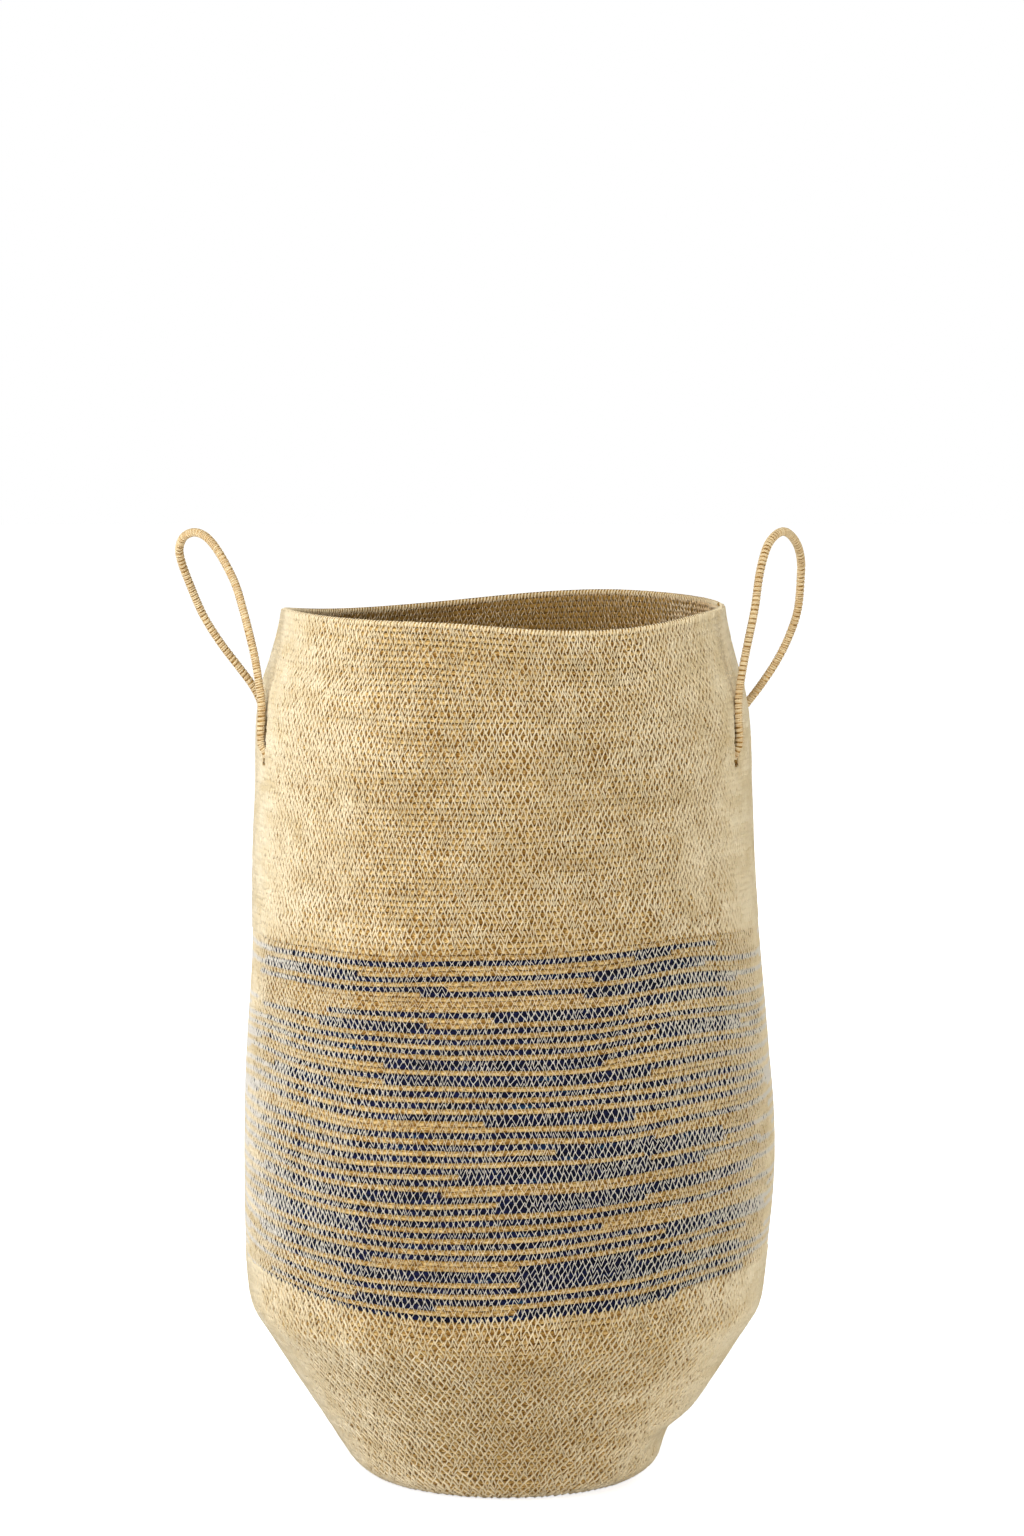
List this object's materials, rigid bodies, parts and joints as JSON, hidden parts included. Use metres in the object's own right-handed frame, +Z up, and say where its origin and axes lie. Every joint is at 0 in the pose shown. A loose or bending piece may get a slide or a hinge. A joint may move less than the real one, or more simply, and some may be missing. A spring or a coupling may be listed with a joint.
{
  "type": "belly basket",
  "caption": "Tall coiled-cord belly basket with a blue banded belly, steep taper to a flat round base, wavy open rim and standing rope loop handles.",
  "frame": {"origin": "middle of the flat base, on the floor", "axes": "+Z up to the rim; the front faces -Y; the handles stand at +X (right) and -X (left)"},
  "size_m": [0.4174, 0.351, 0.6293],
  "materials": {
    "straw_cord": "matt natural fibre cord, stitched row to row with pale thread",
    "band_cord": "matt natural and space-dyed blue fibre cord in alternate rows, stitched with pale thread",
    "handle_cord": "matt thick fibre cord, bound with close zigzag thread"
  },
  "bodies": {
    "basket": {"base_coil": "straw_cord", "lower_wall": "straw_cord", "belly_band": "band_cord", "upper_wall": "straw_cord", "rim_coil": "straw_cord", "right_handle_front_tail": "handle_cord", "right_handle_back_tail": "handle_cord", "left_handle_front_tail": "handle_cord", "left_handle_back_tail": "handle_cord"},
    "right_handle": {"right_handle_loop": "handle_cord"},
    "left_handle": {"left_handle_loop": "handle_cord"}
  },
  "joints": [
    {"name": "right_handle_fold", "type": "hinge", "parent": "basket", "child": "right_handle", "pos_m": [0.14718, 0, 0.483], "axis": [0, 1, 0], "range_deg": [0, 95]},
    {"name": "left_handle_fold", "type": "hinge", "parent": "basket", "child": "left_handle", "pos_m": [-0.15467, 0, 0.483], "axis": [0, -1, 0], "range_deg": [0, 95]}
  ]
}
